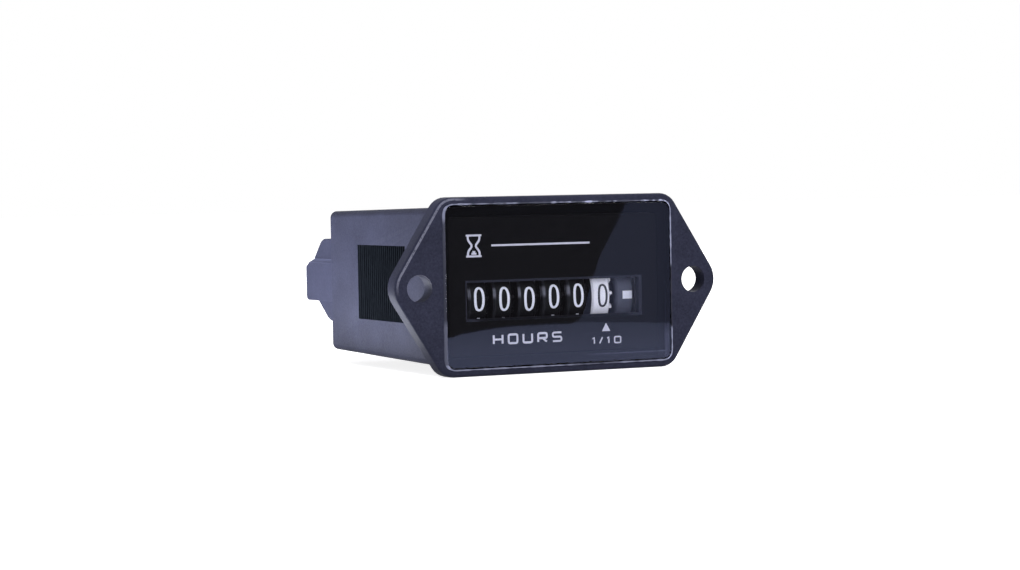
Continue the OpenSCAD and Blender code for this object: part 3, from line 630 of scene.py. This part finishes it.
def wound_copper():
    """Enamelled wire laid in close turns along the coil."""
    fin = Finish("coil_copper")
    turns = fin.add("ShaderNodeTexWave", {"bands_direction": "Y", "wave_profile": "SIN"},
                    {"Vector": fin.place(), "Scale": 2.2, "Distortion": 0.3})
    cloud = fin.noise(fin.place(), 1.0, 2)
    tint = fin.ramp(turns * 0.7 + cloud * 0.3, (0.2, (0.30, 0.09, 0.03)), (0.8, (0.72, 0.32, 0.13)))
    fin.set(Base_Color=tint, Metallic=0.85, Roughness=0.3 + cloud * 0.1, Normal=fin.bump(turns, 0.06))
    return fin.material


finishes = {
    "housing_plastic": housing_plastic(),
    "lens_clear": lens_clear(),
    "dial_black": dial_print(),
    "wheel_black": black_band(),
    "wheel_white": white_band(),
    "indicator_grey": moulded("indicator_grey", (0.088, 0.093, 0.132), 0.5, 5.0, 0.010, 0.1),
    "frame_grey": moulded("frame_grey", (0.52, 0.53, 0.62), 0.5, 4.0, 0.012),
    "gear_natural": moulded("gear_natural", (0.72, 0.68, 0.56), 0.4, 4.0, 0.006),
    "steel": turned_metal("steel", (0.56, 0.57, 0.60), 0.3, 1),
    "contact_brass": turned_metal("contact_brass", (0.72, 0.55, 0.28), 0.32, 1),
    "coil_copper": wound_copper(),
    "magnet_grey": moulded("magnet_grey", (0.07, 0.07, 0.075), 0.45, 7.0, 0.015),
    "board_green": circuit_green(),
    "chip_black": moulded("chip_black", (0.012, 0.012, 0.013), 0.5, 8.0, 0.010),
    "can_aluminium": turned_metal("can_aluminium", (0.62, 0.63, 0.66), 0.3, 1),
}
white_ink = ink("white_ink", (0.85, 0.87, 1.0), 0.08)
dark_ink = ink("dark_ink", (0.012, 0.012, 0.022))
legend_ink = ink("legend_ink", (0.62, 0.62, 0.74), 0.2)

# Carried-over nodes take the finish of their slot
for subpart in frame["record"]["subparts"]:
    node = bpy.data.objects[subpart["node"]]
    node.data.materials.clear()
    node.data.materials.append(finishes[subpart["material_slot"]])


# Housing with softened shroud and screw holes, lens and dial

def on_ear_corner(p):
    return p.y > case_rear + 3.0 and abs(p.x) < 1.0 and abs(p.z) > block_half_height + 2.0


def on_block_end(p):
    return p.y > housing_high.y - 0.1 and abs(p.x) < 1.0 and p.z < 0.1 - block_half_height


def on_shroud(p):
    outer = abs(p.x) > block_half_width - 1.0 or abs(p.z) > block_half_height - 1.7
    return p.y > case_rear + 0.1 and outer


def on_screw_hole(p):
    return abs(math.hypot(abs(p.x) - hole_x, p.z) - hole_radius) < 0.05


def make_housing():
    piece = solid_copy("housing", "housing_moulding")
    round_edges(piece, on_ear_corner, 1.3, 6, 20)
    round_edges(piece, on_block_end, 0.9, 5)
    round_edges(piece, on_shroud, 0.35, 3)
    round_edges(piece, on_screw_hole, 0.25, 3)
    smooth(piece, 38)
    return finish_piece(piece, "meter_body", finishes["housing_plastic"])


def smooth_copy(node, name, body, slot):
    """A copy of a node's solid with smooth shading and the finish of its slot."""
    piece = solid_copy(node, name)
    smooth(piece, 30)
    return finish_piece(piece, body, finishes[slot])


DIAL_SPREAD = 0.16


def move_edge(piece, axis, place, distance):
    """Moves the corners of a piece that lie at a place on one axis along that axis, in mm."""
    edit(piece, "VERT")
    bpy.ops.mesh.select_all(action="DESELECT")
    mesh = bmesh.from_edit_mesh(piece.data)
    for vertex in mesh.verts:
        vertex.select_set(abs(vertex.co[axis] / MM - place) < 0.01)
    mesh.select_flush_mode()
    bmesh.update_edit_mesh(piece.data)
    move = [0, 0, 0]
    move[axis] = distance * MM
    bpy.ops.transform.translate(value=move)
    close()


def make_dial():
    """The dial, spread at its four edges so that no line of sight passes beside it."""
    piece = solid_copy("dial_plate", "dial_face")
    for axis in (0, 2):
        move_edge(piece, axis, dial_low[axis], -DIAL_SPREAD)
        move_edge(piece, axis, dial_high[axis], DIAL_SPREAD)
    smooth(piece, 30)
    return finish_piece(piece, "meter_body", finishes["dial_black"])


make_housing()
smooth_copy("lens", "lens_plate", "meter_body", "lens_clear")
make_dial()


# Number wheels and their digits

# Height, width and stroke of the digits
DIGIT_SIZE = (4.08, 2.02, 0.44)
TENTHS_DIGIT_SIZE = (3.98, 1.95, 0.40)
UPRIGHT_SWELL = 1.2
DIGIT_FROM_LEFT = 1.95
DIGIT_STEP = math.radians(36)
INK_THICKNESS = 0.03
INK_LIFT = 0.005


def oval(cx, cz, rx, rz, power=2.4, steps=48):
    """A closed oval, a little squarer than an ellipse."""
    points = []
    for k in range(steps):
        t = 2 * math.pi * k / steps
        c, s = math.cos(t), math.sin(t)
        points.append((cx + rx * math.copysign(abs(c) ** (2 / power), c),
                       cz + rz * math.copysign(abs(s) ** (2 / power), s)))
    return points


def digit_lines(digit):
    """The strokes of a digit in a box from -1 to 1; a closed stroke ends with None."""
    six = [oval(0, -0.42, 1, 0.58) + [None], arc(0.6, -0.42, 1.6, 1.42, 180, 115)]
    shapes = {
        0: [oval(0, 0, 1, 1) + [None]],
        1: [[(0, 1.04), (0, -1)]],
        2: [arc(0, 0.42, 1, 0.58, 165, -25) + [(-1, -1), (1, -1)]],
        3: [arc(0, 0.5, 0.92, 0.5, 150, -90), arc(0, -0.48, 1, 0.52, 90, -150)],
        4: [[(0.45, -1), (0.45, 1), (-1, -0.4), (1, -0.4)]],
        5: [[(0.9, 1), (-0.75, 1), (-0.85, 0.1)], arc(0, -0.38, 1, 0.62, 140, -150)],
        6: six,
        7: [[(-1, 1), (1, 1), (-0.3, -1)]],
        8: [oval(0, 0.48, 0.85, 0.52) + [None], oval(0, -0.46, 1, 0.54) + [None]],
        9: [[None if p is None else (-p[0], -p[1]) for p in line] for line in six],
    }
    return shapes[digit]


def make_digits(place, centre_x, height, width, stroke, turn, finish):
    """All ten digits of one wheel, laid out flat and then bent round the wheel."""
    half_w, half_h = (width / UPRIGHT_SWELL - stroke) / 2, (height - stroke) / 2
    lines = []
    for digit in range(10):
        middle = -wheel_radius * DIGIT_STEP * digit
        lines += [placed(line, 0, middle, half_w, half_h) for line in digit_lines(digit)]
    piece = stroke_mesh("digits_" + place, lines, stroke)
    flatten(piece, INK_THICKNESS, stroke, 0, UPRIGHT_SWELL, centre_x)
    wrap_on_wheel(piece, wheel_radius, INK_LIFT, turn)
    smooth(piece, 60)
    return finish_piece(piece, "wheel_" + place, finish)


# How far each wheel's digits stand from the middle of the window at rest, in degrees
REST_TURN = {
    "ten_thousands": 1.4, "thousands": 0.7, "hundreds": -0.4, "tens": 1.3, "units": 1.5, "tenths": 0.1}
for place in PLACES:
    slot, size, digit_ink = "wheel_black", DIGIT_SIZE, white_ink
    if place == "tenths":
        slot, size, digit_ink = "wheel_white", TENTHS_DIGIT_SIZE, dark_ink
    smooth_copy("wheel_" + place, "number_wheel_" + place, "wheel_" + place, slot)
    make_digits(place, band_left(place) + DIGIT_FROM_LEFT, *size, REST_TURN[place], digit_ink)


# Run indicator and its flag

FLAG_LEFT, FLAG_RIGHT = 14.08, 15.87
FLAG_LOW, FLAG_HIGH = -3.1, -1.75


def make_flag():
    """A white field on the drum: a grid bent round the drum and given thickness."""
    bpy.ops.object.select_all(action="DESELECT")
    bpy.ops.mesh.primitive_grid_add(x_subdivisions=4, y_subdivisions=8, size=1)
    piece = bpy.context.object
    piece.name = "indicator_flag"
    middle_x = (FLAG_LEFT + FLAG_RIGHT) / 2 * MM
    middle_z = ((FLAG_LOW + FLAG_HIGH) / 2 - axis_z) * MM
    edit(piece)
    bpy.ops.transform.resize(value=((FLAG_RIGHT - FLAG_LEFT) * MM, (FLAG_HIGH - FLAG_LOW) * MM, 1))
    bpy.ops.transform.rotate(value=math.radians(-90), orient_axis="X", center_override=(0, 0, 0))
    bpy.ops.transform.translate(value=(middle_x, 0, middle_z))
    close()
    wrap_on_wheel(piece, drum_radius, INK_LIFT)
    edit(piece)
    bpy.ops.mesh.normals_make_consistent(inside=False)
    close()
    apply_modifier(piece, "SOLIDIFY", thickness=INK_THICKNESS * MM, offset=1)
    smooth(piece, 40)
    return finish_piece(piece, "run_indicator", white_ink)


smooth_copy("run_indicator", "indicator_drum", "run_indicator", "indicator_grey")
make_flag()


# Dial print

LEGEND_STROKE = 0.36
legend_y = dial_front - INK_LIFT


def square_letter(letter):
    """Strokes of a plain square letter in a cell one wide and one high; a closed stroke ends with None."""
    bowl = 0.22
    shapes = {
        "H": [[(0, 0), (0, 1)], [(1, 0), (1, 1)], [(0, 0.5), (1, 0.5)]],
        "O": [rounded_line([(0, 0), (1, 0), (1, 1), (0, 1)], bowl, True) + [None]],
        "U": [rounded_line([(0, 1), (0, 0), (1, 0), (1, 1)], bowl)],
        "R": [rounded_line([(0, 0), (0, 1), (1, 1), (1, 0.42), (0, 0.42)], bowl), [(0.5, 0.42), (1, 0)]],
        "S": [rounded_line([(1, 1), (0, 1), (0, 0.5), (1, 0.5), (1, 0), (0, 0)], bowl)],
        "1": [[(-0.25, 0.8), (0, 1), (0, 0)]],
        "/": [[(0, 0), (0.45, 1)]],
    }
    return shapes[letter]


def make_print(name, letters, stroke, height):
    """Letters as flat strokes on the dial; each is (letter, left, bottom, width) of its centre lines."""
    lines = []
    for letter, left, bottom, width in letters:
        lines += [placed(line, left, bottom, width, height) for line in square_letter(letter)]
    piece = stroke_mesh(name, lines, stroke, step=0.6)
    flatten(piece, INK_THICKNESS, stroke, legend_y)
    smooth(piece, 60)
    return finish_piece(piece, "meter_body", legend_ink)


HOURS_LEFT = -11.47
HOURS_PITCH = 2.72
HOURS_WIDTH = 1.6
HOURS_HEIGHT = 1.42
HOURS_MIDDLE = -8.81
HOURS_BOTTOM = HOURS_MIDDLE - HOURS_HEIGHT / 2
hours_letters = [
    (letter, HOURS_LEFT + k * HOURS_PITCH, HOURS_BOTTOM, HOURS_WIDTH) for k, letter in enumerate("HOURS")]
make_print("legend_hours", hours_letters, LEGEND_STROKE, HOURS_HEIGHT)
TENTH_BOTTOM = -10.26
TENTH_HEIGHT = 1.0
TENTH_STROKE = 0.28
tenth_letters = [
    ("1", 7.2, TENTH_BOTTOM, 1.3), ("/", 8.2, TENTH_BOTTOM, 1.2),
    ("1", 9.95, TENTH_BOTTOM, 1.3), ("O", 11.05, TENTH_BOTTOM, 1.15)]
make_print("legend_tenth", tenth_letters, TENTH_STROKE, TENTH_HEIGHT)
POINTER_LEFT, POINTER_RIGHT = 8.65, 10.25
POINTER_LOW, POINTER_HIGH = -8.26, -6.86


def make_pointer():
    """The small triangle under the tenths wheel."""
    bpy.ops.object.select_all(action="DESELECT")
    upright = (math.radians(90), 0, 0)
    bpy.ops.mesh.primitive_circle_add(vertices=3, radius=1, fill_type="NGON", rotation=upright)
    piece = bpy.context.object
    piece.name = "dial_pointer"
    bpy.ops.object.transform_apply(location=True, rotation=True, scale=True)
    tip = ((POINTER_LEFT + POINTER_RIGHT) / 2, POINTER_HIGH)
    corners = [(POINTER_LEFT, POINTER_LOW), (POINTER_RIGHT, POINTER_LOW), tip]
    ordered = sorted(piece.data.vertices, key=lambda v: (v.co.z > 0.5, v.co.x))
    for vertex, (x, z) in zip(ordered, corners):
        vertex.co = Vector((x, legend_y + INK_THICKNESS / 2, z)) * MM
    edit(piece)
    bpy.ops.mesh.normals_make_consistent(inside=False)
    bpy.ops.mesh.extrude_region_move(TRANSFORM_OT_translate={"value": (0, -INK_THICKNESS * MM, 0)})
    bpy.ops.mesh.select_all(action="SELECT")
    bpy.ops.mesh.normals_make_consistent(inside=False)
    close()
    round_edges(piece, lambda p: abs(p.y - legend_y) < 0.01, 0.08, 2)
    return finish_piece(piece, "meter_body", legend_ink)


SIGN_LEFT, SIGN_RIGHT = -16.2, -13.4
SIGN_LOW, SIGN_HIGH = 4.9, 8.3
SIGN_WAIST = 0.22
SIGN_INSET = 0.35
SIGN_SHOULDER = 0.8
RULE_LEFT, RULE_RIGHT = -11.6, 6.6


def make_sign():
    """An hourglass sign with a plain rule beside it."""
    middle_x = (SIGN_LEFT + SIGN_RIGHT) / 2
    middle_z = (SIGN_LOW + SIGN_HIGH) / 2

    def glass_side(outer, waist):
        """One side of the hourglass, from the upper bar through the waist to the lower bar."""
        corners = [(outer, SIGN_HIGH), (outer, SIGN_HIGH - SIGN_SHOULDER), (waist, middle_z),
                   (outer, SIGN_LOW + SIGN_SHOULDER), (outer, SIGN_LOW)]
        return rounded_line(corners, 0.5)

    def level(left, right, z):
        return [(left, z), (right, z)]

    lines = [
        level(SIGN_LEFT, SIGN_RIGHT, SIGN_HIGH),
        level(SIGN_LEFT, SIGN_RIGHT, SIGN_LOW),
        glass_side(SIGN_LEFT + SIGN_INSET, middle_x - SIGN_WAIST),
        glass_side(SIGN_RIGHT - SIGN_INSET, middle_x + SIGN_WAIST),
        level(middle_x - 0.45, middle_x + 0.45, SIGN_LOW + 0.42),
        level(middle_x - 0.25, middle_x + 0.25, SIGN_LOW + 0.72),
        level(RULE_LEFT, RULE_RIGHT, middle_z),
    ]
    piece = stroke_mesh("dial_sign", lines, LEGEND_STROKE, step=0.4)
    flatten(piece, INK_THICKNESS, LEGEND_STROKE, legend_y)
    smooth(piece, 60)
    return finish_piece(piece, "meter_body", legend_ink)


make_pointer()
make_sign()


# Seam round the lens

WELD_GAP = 0.05
WELD_LEFT_INSET = 0.14
WELD_CORNER = 1.9
WELD_WIDTH = 0.27
WELD_PRESSED = 0.6


def make_weld():
    """A bead of uneven thickness in the gap between the lens and the flange, widest on the left."""
    left = lens_low.x + WELD_LEFT_INSET
    right = lens_high.x + WELD_GAP
    half_h = lens_high.z + WELD_GAP
    corners = [(left, -half_h), (right, -half_h), (right, half_h), (left, half_h)]
    loop = rounded_line(corners, WELD_CORNER, True, 12) + [None]

    def swell(x, z):
        wave = math.sin(1.9 * x + 0.7 * z) + math.sin(0.83 * x - 1.7 * z + 1.1)
        wave += math.sin(3.7 * x + 4.1 * z + 0.4)
        by_left = min(max((left + 0.9 - x) / 0.8, 0), 1)
        wide = 0.5 if z < -5.5 else 0
        return (0.8 + 0.16 * wave) * (1 - by_left) + (1.9 + 0.08 * wave + wide) * by_left

    piece = stroke_mesh("lens_weld", [loop], WELD_WIDTH, swell, 0.3)
    flatten(piece, WELD_PRESSED, 1, flange_front - 0.02)
    smooth(piece, 60)
    return finish_piece(piece, "meter_body", weld_bead())


make_weld()


# Terminals

def make_terminal(side):
    piece = solid_copy("terminal_" + side, "blade_" + side)
    round_edges(piece, lambda p: p.y > case_rear, 0.12, 2)
    smooth(piece, 35)
    return finish_piece(piece, "meter_body", finishes["contact_brass"])


for side in ("left", "right"):
    make_terminal(side)


# Studio

FLOOR_Z = housing_low.z - 0.02
FLOOR_GLOW = 0.84
AMBIENT = 0.32
# The camera: turns in degrees, the flange's middle seen from it in mm, and the lens in picture points
YAW, PITCH, ROLL = 26.6236, 2.1471, 1.0422
OFFSET = Vector((8.22529, -0.20595, 435.473))
FOCAL_PIXELS = 2646.1
IMAGE_WIDTH = 1020
SENSOR = 36.0


def make_camera():
    """A camera at the photograph's viewing angle."""
    yaw, pitch, roll = (math.radians(a) for a in (YAW, PITCH, ROLL))
    level_forward = Vector((math.sin(yaw), math.cos(yaw), 0))
    forward = level_forward * math.cos(pitch) - Vector((0, 0, math.sin(pitch)))
    level_right = Vector((math.cos(yaw), -math.sin(yaw), 0))
    level_down = forward.cross(level_right)
    right = math.cos(roll) * level_right + math.sin(roll) * level_down
    down = -math.sin(roll) * level_right + math.cos(roll) * level_down
    eye = Vector((0, flange_front, 0)) - (right * OFFSET.x + down * OFFSET.y + forward * OFFSET.z)
    data = bpy.data.cameras.new("camera")
    data.sensor_fit = "HORIZONTAL"
    data.sensor_width = SENSOR
    data.lens = FOCAL_PIXELS * SENSOR / IMAGE_WIDTH
    data.clip_start = 0.01
    camera = bpy.data.objects.new("camera", data)
    turn = Matrix((right, -down, -forward)).transposed().to_4x4()
    camera.matrix_world = Matrix.Translation(eye * MM) @ turn
    bpy.context.collection.objects.link(camera)
    bpy.context.scene.camera = camera


def make_lamp(name, place, target, width, height, power, colour=(1, 1, 1)):
    """A soft rectangular lamp that the camera doesn't see; places and sizes in metres."""
    data = bpy.data.lights.new(name, "AREA")
    data.shape = "RECTANGLE"
    data.size = width
    data.size_y = height
    data.energy = power
    data.color = colour
    lamp = bpy.data.objects.new(name, data)
    turn = (Vector(target) - Vector(place)).to_track_quat("-Z", "Y")
    lamp.matrix_world = Matrix.Translation(place) @ turn.to_matrix().to_4x4()
    lamp.visible_camera = False
    bpy.context.collection.objects.link(lamp)


def make_floor():
    """Pale floor that looks white to the camera and keeps the object's shadow."""
    bpy.ops.object.select_all(action="DESELECT")
    bpy.ops.mesh.primitive_plane_add(size=6, location=(0, 0, FLOOR_Z * MM))
    floor = bpy.context.object
    floor.name = "studio_floor"
    floor.visible_glossy = False
    fin = Finish("studio_floor")
    fin.tree.nodes.remove(fin.shader)
    diffuse = fin.add("ShaderNodeBsdfDiffuse", inputs={"Color": (0.86, 0.86, 0.88, 1)})
    seen = fin.add("ShaderNodeLightPath", output="Is Camera Ray")
    through = fin.add("ShaderNodeLightPath", output="Is Transmission Ray")
    strength = (seen + through) * FLOOR_GLOW
    glow = fin.add("ShaderNodeEmission", inputs={"Color": (1, 1, 1, 1), "Strength": strength})
    both = fin.add("ShaderNodeAddShader", inputs={0: diffuse, 1: glow})
    fin.surface(both)
    floor.data.materials.append(fin.material)


def make_world():
    """White to the eye and in reflections, a soft even light on everything else."""
    world = bpy.data.worlds.new("studio")
    bpy.context.scene.world = world
    world.use_nodes = True
    tree = world.node_tree
    background = tree.nodes["Background"]
    path = tree.nodes.new("ShaderNodeLightPath")
    seen = path.outputs["Is Camera Ray"]
    for name in ("Is Glossy Ray", "Is Transmission Ray"):
        both = tree.nodes.new("ShaderNodeMath")
        both.operation = "MAXIMUM"
        tree.links.new(seen, both.inputs[0])
        tree.links.new(path.outputs[name], both.inputs[1])
        seen = both.outputs[0]
    level = tree.nodes.new("ShaderNodeMapRange")
    level.inputs["To Min"].default_value = AMBIENT
    level.inputs["To Max"].default_value = 1.0
    tree.links.new(seen, level.inputs["Value"])
    tree.links.new(level.outputs[0], background.inputs["Strength"])
    background.inputs["Color"].default_value = (1, 1, 1, 1)


CARD_Y = -400.0
CARD_SCALE = 2.03
CARD_SHIFT = Vector((208.0, -16.5))
SKY_BLUE = (0.52, 0.59, 1.0, 1)
ROOM_BLUE = (0.82, 0.80, 1.0, 1)


def make_card(name, outline, y, low_glow, high_glow, colour=SKY_BLUE):
    """A card in front of the meter that only reflections see; outline is in lens places."""
    corners = [Vector(p) * CARD_SCALE + CARD_SHIFT for p in outline]
    mesh = bpy.data.meshes.new(name)
    mesh.from_pydata([(c.x * MM, y * MM, c.y * MM) for c in corners], [], [list(range(len(corners)))])
    card = bpy.data.objects.new(name, mesh)
    bpy.context.collection.objects.link(card)
    for ray in ("visible_camera", "visible_diffuse", "visible_shadow", "visible_transmission"):
        setattr(card, ray, False)
    fin = Finish(name)
    fin.tree.nodes.remove(fin.shader)
    height = fin.axes(fin.place())[2]
    rise = fin.step(height, corners[0].y, corners[-1].y)
    strength = low_glow + rise * (high_glow - low_glow)
    glow = fin.add("ShaderNodeEmission", inputs={"Color": colour, "Strength": strength})
    fin.surface(glow)
    card.data.materials.append(fin.material)


make_camera()
make_floor()
make_world()

# What the lens reflects: a wall in two parts, and a dark room with a softer rim in front of it
CARD_REACH = 60
STEP_LEFT, STEP_RIGHT = (-CARD_REACH, -3.5), (CARD_REACH, -9.4)
WALL_FOOT = [(-CARD_REACH, -14), (CARD_REACH, -14)]
WALL_HEAD = [(CARD_REACH, CARD_REACH), (-CARD_REACH, CARD_REACH)]
ROOM_HEAD = (-CARD_REACH, CARD_REACH)
DARK_EDGE = [
    (-21, -8.25), (-17, -7.42), (-13.8, -7.0), (-8.7, -6.6), (-2.1, -6.5), (2.6, -6.6),
    (3.5, -6.3), (4.3, -5.3), (4.9, -3.8), (6.2, 0.8), (6.75, 1.9), (7.55, 4.0),
    (9.2, 6.8), (10.65, 9.3), (12.35, 12.4), (13.05, 13.6)]
RIM_EDGE = [
    (-21, -8.6), (-17, -7.77), (-13.8, -7.35), (-8.7, -6.95), (-2.1, -6.85), (2.8, -6.9),
    (3.9, -6.4), (4.7, -5.4), (5.3, -3.8), (6.6, 0.8), (7.2, 1.9), (8.05, 4.0),
    (10.1, 6.8), (11.75, 9.3), (13.4, 12.4), (14.1, 13.6)]
rim_outline = [(-CARD_REACH, -11.9), *RIM_EDGE, (24, CARD_REACH), ROOM_HEAD]
room_outline = [(-CARD_REACH, -11), *DARK_EDGE, (22, CARD_REACH), ROOM_HEAD]
make_card("front_wall", [*WALL_FOOT, STEP_RIGHT, STEP_LEFT], CARD_Y - 6, 2.5, 1.5)
make_card("front_wall_top", [STEP_LEFT, STEP_RIGHT, *WALL_HEAD], CARD_Y - 6, 0.9, 0.95)
make_card("dark_room_rim", rim_outline, CARD_Y - 3, 0.5, 0.5)
make_card("dark_room", room_outline, CARD_Y, 0.17, 0.17, ROOM_BLUE)

# Lamps
low_lamp_z = FLOOR_Z * MM + 0.004
strip_z = FLOOR_Z * MM + 0.001
MIDDLE = (0, 0, 0)
make_lamp("left_strip", (-0.043, 0.045, strip_z), (-0.043, 0.045, 1.0), 0.034, 0.078, 0.075, (0.92, 0.95, 1))
make_lamp("low_left", (-0.30, 0.08, low_lamp_z), (-0.30, 0.08, 1.0), 0.34, 0.5, 2.7, (0.84, 0.89, 1))
make_lamp("top", (0.05, 0.05, 0.7), MIDDLE, 0.7, 0.7, 4.1)
make_lamp("front", (0.05, -0.82, 0.25), MIDDLE, 0.5, 0.4, 2.75)
make_lamp("back_right", (0.5, 0.6, 0.3), MIDDLE, 0.4, 0.4, 2.0)
bpy.context.scene.view_settings.view_transform = "Standard"
